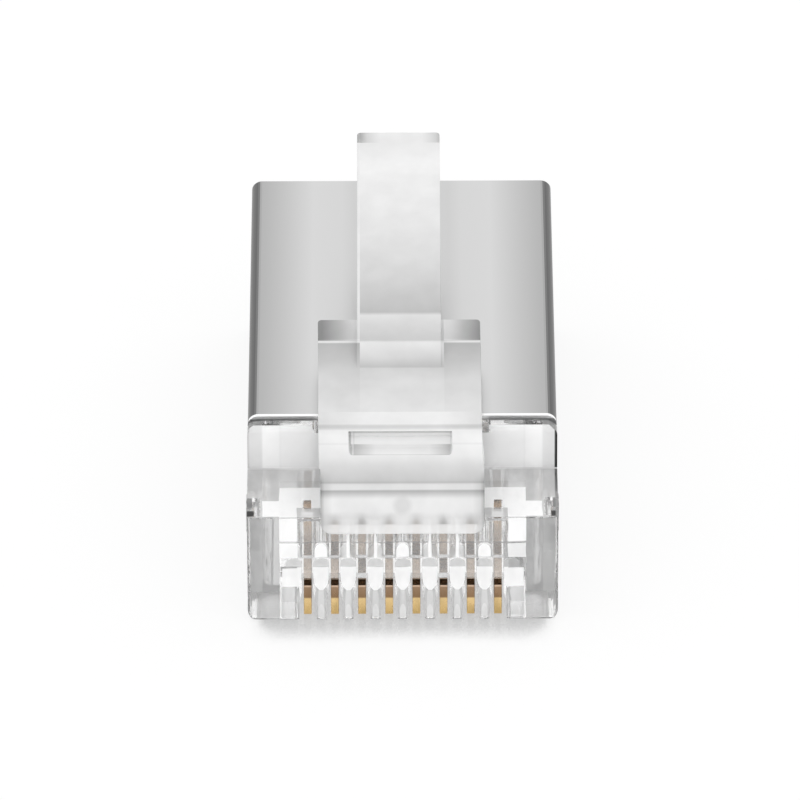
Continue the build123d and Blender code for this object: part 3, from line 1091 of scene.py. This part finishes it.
def goldAndPaintedLight():
    material, tree, shader = newMaterial("goldAndPaintedLight")
    colour = coloursAlong(tree, axisOf(tree, placeInMm(tree), "Z"), gildingAndPaintedLight["stops"])
    wear = noise(tree, 0.3, 4, (1, 1, 0.4))
    rubbed = ramp(tree, wear, [(0.3, grey(0.82)), (0.6, grey(1))])
    tree.links.new(shaded(tree, colour, rubbed), shader.inputs["Base Color"])
    low, high = gildingAndPaintedLight["roughness"] * 0.8, gildingAndPaintedLight["roughness"] * 1.3
    tree.links.new(spread(tree, wear, low, high), shader.inputs["Roughness"])
    tree.links.new(bump(tree, wear, 0.1, 0.01), shader.inputs["Normal"])
    shader.inputs["Metallic"].default_value = 1.0
    return material


# Making

# Materials of the moulding, its finishes and its painted shade, in the order of its material slots
(polished, core, latchFace, matt, underside, latchEdge, noseFace, pocketFace, ledge, riser,
 darkEdge) = range(11)


def mouldingMaterials():
    smooth, milky = finish["polishedRoughness"], finish["latchRoughness"]
    through = finish["noseThrough"]
    return [
        clearPlastic("polished", smooth, finish["polishedHaze"]),
        clearPlastic("texturedCore", finish["coreRoughness"], finish["coreHaze"]),
        clearPlastic("latchMilkAndPaintedShade", milky, finish["latchHaze"], latchPaintedShade),
        clearPlastic("mattStep", finish["stepRoughness"], finish["stepHaze"]),
        clearPlastic("mattUnderside", finish["stepRoughness"], finish["undersideHaze"]),
        clearPlastic("latchEdges", milky, finish["edgeHaze"]),
        clearPlastic("noseFace", smooth, 0, frostAndShade=frontFrostAndShade, through=through),
        clearPlastic("latchPocket", milky, finish["latchHaze"], pocketPaintedShade),
        clearPlastic("noseLedge", smooth, 0, frostAndShade=ledgeFrostAndShade, through=through),
        clearPlastic("noseRiser", smooth, noseFrostAndShade["riserHaze"], riserPaintedShade, through=0.0),
        clearPlastic("noseEdge", smooth, noseFrostAndShade["edgeHaze"], edgePaintedShade),
    ]


# True on the walls and floor of the pocket in the latch's bend
def inPocket(x, depth, z):
    centre = Vector((latch["bendRadius"] - plug["rootProud"], latch["bendLevel"]))
    spoke = Vector((depth, z)) - centre
    angle = math.degrees(math.atan2(spoke.y, -spoke.x))
    low, high = latch["pocketAngles"]
    floor = latch["bendRadius"] - latch["pocketDepth"]
    return (floor - 0.01 < spoke.length < latch["bendRadius"] - 0.01
            and low - 1 < angle < high + 1 and abs(x) < latch["pocketWidth"] / 2 + 0.01)


# Material slot of a face of the moulding, from its place and the way it looks
def mouldingSlot(face):
    x, y, z = face.center / mm
    depth = y - noseY
    normal = face.normal
    onLedge = abs(z - body["ledgeHeight"]) < 0.01 and depth > 0.01
    besideRoot = depth < body["ledgeLength"] - 0.05 and not onLedge
    inLatch = z > latch["rootFaces"] and abs(x) < latch["width"] / 2 + 0.001 and besideRoot
    if z > plug["height"] or inLatch:
        if inPocket(x, depth, z):
            return pocketFace
        return latchEdge if 0.1 < abs(normal.x) < 0.97 else latchFace
    if abs(depth - body["bareNose"]) < 0.05 and normal.y > 0.9:
        return matt
    if z < body["underShield"] + 0.01 and abs(x) > 3.9 and normal.z < -0.9:
        return underside
    if onLedge and depth < body["ledgeLength"] and normal.z > 0.9:
        return ledge
    if z > body["ledgeHeight"] and depth < body["ledgeLength"] + 0.3 and normal.y < -0.3:
        return riser
    if depth < 0.02 and normal.y < -0.9:
        return noseFace
    roundedEdge = depth < body["noseEdgeRadius"] and normal.y < -0.3
    if roundedEdge and (normal.z < -0.6 or abs(normal.x) > 0.6):
        return darkEdge
    inCavity = depth > body["noseWall"] - 0.01 and abs(x) < body["cavityWidth"] / 2 + 0.01
    return core if inCavity and 0.85 < z < 5.7 else polished


moulding = makeClearMoulding()
moulding.data.materials.clear()
for material in mouldingMaterials():
    moulding.data.materials.append(material)
for face in moulding.data.polygons:
    face.material_index = mouldingSlot(face)
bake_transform(moulding)
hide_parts("housing", "latch")
print("clear moulding made:", len(moulding.data.polygons), "faces")

shell = makeShield()
shell.data.materials.clear()
shell.data.materials.append(nickelPlate())
# painted light: the shield's inside is the nickel painted nearly white
shell.data.materials.append(plainMetal("brightInside", (0.1, 2),
                                       [(0.3, grey(0.99)), (0.7, grey(1))],
                                       plating["insideRoughness"]))
# painted reflection: the hooked finger ends are painted dark, as reflecting the dark slot that
# they sit in
hookDark, hookLight = plating["hook"]
shell.data.materials.append(plainMetal("darkHook", (0.35, 2, (1, 1, 0.7)),
                                       [(0.47, grey(hookDark)), (0.58, grey(hookLight))],
                                       plating["roughness"]))
middle = Vector((0, 0, plug["height"] / 2 * mm))
for face in shell.data.polygons:
    out = face.center - middle
    out.y = 0
    depth = face.center.y / mm - noseY
    deep = depth > body["contactSideBare"] or face.center.z > 1 * mm
    inner = deep and face.normal.dot(out) < -0.3 * out.length
    outerSide = abs(face.normal.x) > 0.95 and abs(face.center.x / mm) > 5.75
    atHook = depth < body["bareNose"] - 0.3 and not outerSide
    face.material_index = 2 if atHook else (1 if inner else 0)
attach(shell, "plug")
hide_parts("shield")
print("shield made")

goldWithPaintedLight = goldAndPaintedLight()
paintedLitBronze = plainMetal("brightBronze", (0.4, 3), gildingAndPaintedLight["sides"], plating["roughness"])
for number in range(1, 9):
    piece = makeBlade(number)
    piece.data.materials.clear()
    piece.data.materials.append(goldWithPaintedLight)
    piece.data.materials.append(paintedLitBronze)
    for face in piece.data.polygons:
        face.material_index = 1 if abs(face.normal.x) > 0.9 else 0
    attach(piece, "plug")
    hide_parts(f"contact_{number}")
print("contact blades made")


# Floor, light and camera

studio = {
    "floorSize": 2.0,
    "airGap": 0.03,
    "elevation": 31.43,
    "distance": 427.7,
    "focalPixels": 11333.0,
    "aim": (-0.08, 7.573, 5.1),
    "roll": -0.2,
    "sensorWidth": 36,
    "photoSide": 800,
    "floorGlow": 0.85,
    "shadowReach": 2.2,
    "shadowFrom": (0, 1, 0),
    "shadowStops": [(0.5, 0.52), (0.56, 0.76), (0.61, 0.9), (0.65, 0.97), (0.7, 1.0)],
    "floorThroughPlastic": 1.0,
    "skyLevel": 1.12,
    "skyLeft": 0.7,
    "skyRight": 0.15,
}


def makeFloor():
    half = studio["floorSize"] / 2
    mesh = bpy.data.meshes.new("tableTop")
    corners = [(-half, -half), (half, -half), (half, half), (-half, half)]
    mesh.from_pydata([(x, y, -studio["airGap"] * mm) for x, y in corners], [], [(0, 1, 2, 3)])
    floor = bpy.data.objects.new("tableTop", mesh)
    bpy.context.scene.collection.objects.link(floor)
    material, tree, shader = newMaterial("paleTable")
    weave = noise(tree, 6.0, 2)
    tree.links.new(ramp(tree, weave, [(0.3, grey(0.965)), (0.7, grey(0.985))]),
                   shader.inputs["Base Color"])
    shader.inputs["Roughness"].default_value = 0.9
    # painted shadow: ambient occlusion looking back darkens the floor's glow in front of the plug,
    # as under a lamp behind it, though there is no such lamp
    shadow = tree.nodes.new("ShaderNodeAmbientOcclusion")
    shadow.samples = 8
    shadow.inputs["Distance"].default_value = studio["shadowReach"] * mm
    paintedShadowFrom = tree.nodes.new("ShaderNodeCombineXYZ")
    for name, value in zip("XYZ", studio["shadowFrom"]):
        paintedShadowFrom.inputs[name].default_value = value
    tree.links.new(paintedShadowFrom.outputs[0], shadow.inputs["Normal"])
    glowWithPaintedShadow = tree.nodes.new("ShaderNodeEmission")
    tree.links.new(ramp(tree, shadow.outputs["AO"],
                        [(at, grey(value)) for at, value in studio["shadowStops"]]),
                   glowWithPaintedShadow.inputs["Color"])
    path = tree.nodes.new("ShaderNodeLightPath")
    straight = tree.nodes.new("ShaderNodeMixShader")
    through = tree.nodes.new("ShaderNodeMixShader")
    seen = math2(tree, "MAXIMUM", path.outputs["Is Camera Ray"], path.outputs["Is Glossy Ray"])
    tree.links.new(times(tree, seen, studio["floorGlow"]), straight.inputs["Fac"])
    tree.links.new(shader.outputs[0], straight.inputs[1])
    tree.links.new(glowWithPaintedShadow.outputs[0], straight.inputs[2])
    tree.links.new(path.outputs["Is Transmission Ray"], through.inputs["Fac"])
    tree.links.new(straight.outputs[0], through.inputs[1])
    clearer = tree.nodes.new("ShaderNodeEmission")
    clearer.inputs["Strength"].default_value = studio["floorThroughPlastic"]
    tree.links.new(clearer.outputs[0], through.inputs[2])
    tree.links.new(through.outputs[0], tree.nodes["Material Output"].inputs["Surface"])
    floor.data.materials.append(material)
    return floor


def makeWorld():
    world = bpy.data.worlds.new("studioWorld")
    bpy.context.scene.world = world
    world.use_nodes = True
    tree = world.node_tree
    place = tree.nodes.new("ShaderNodeTexCoord")
    sideways = axisOf(tree, place.outputs["Generated"], "X")
    across = times(tree, math2(tree, "ADD", sideways, 1.0), 0.5)
    shade = ramp(tree, across, [(0.015, grey(studio["skyLeft"])), (0.12, grey(1)), (0.92, grey(1)),
                                (0.985, grey(studio["skyRight"]))])
    tree.links.new(shade, tree.nodes["Background"].inputs["Color"])
    tree.nodes["Background"].inputs["Strength"].default_value = studio["skyLevel"]


def makeCamera():
    data = bpy.data.cameras.new("camera")
    camera = bpy.data.objects.new("camera", data)
    bpy.context.scene.collection.objects.link(camera)
    data.sensor_width = studio["sensorWidth"]
    data.lens = studio["focalPixels"] * studio["sensorWidth"] / studio["photoSide"]
    data.clip_start = 0.01
    data.clip_end = 10
    x, depth, height = studio["aim"]
    aim = Vector((x, noseY + depth, height)) * mm
    angle = math.radians(studio["elevation"])
    away = Vector((0, -math.cos(angle), math.sin(angle)))
    camera.location = aim + away * studio["distance"] * mm
    tilt = Matrix.Rotation(math.pi / 2 - angle, 3, "X")
    roll = Matrix.Rotation(math.radians(studio["roll"]), 3, "Z")
    camera.rotation_euler = (tilt @ roll).to_euler()
    bpy.context.scene.camera = camera
    return camera


makeFloor()
makeWorld()
makeCamera()
bpy.context.scene.view_settings.view_transform = "Standard"
bpy.context.scene.cycles.max_bounces = 64
bpy.context.scene.cycles.transmission_bounces = 64
bpy.context.scene.cycles.glossy_bounces = 48
bpy.context.scene.cycles.diffuse_bounces = 24
bpy.context.scene.cycles.transparent_max_bounces = 32
print("studio made")
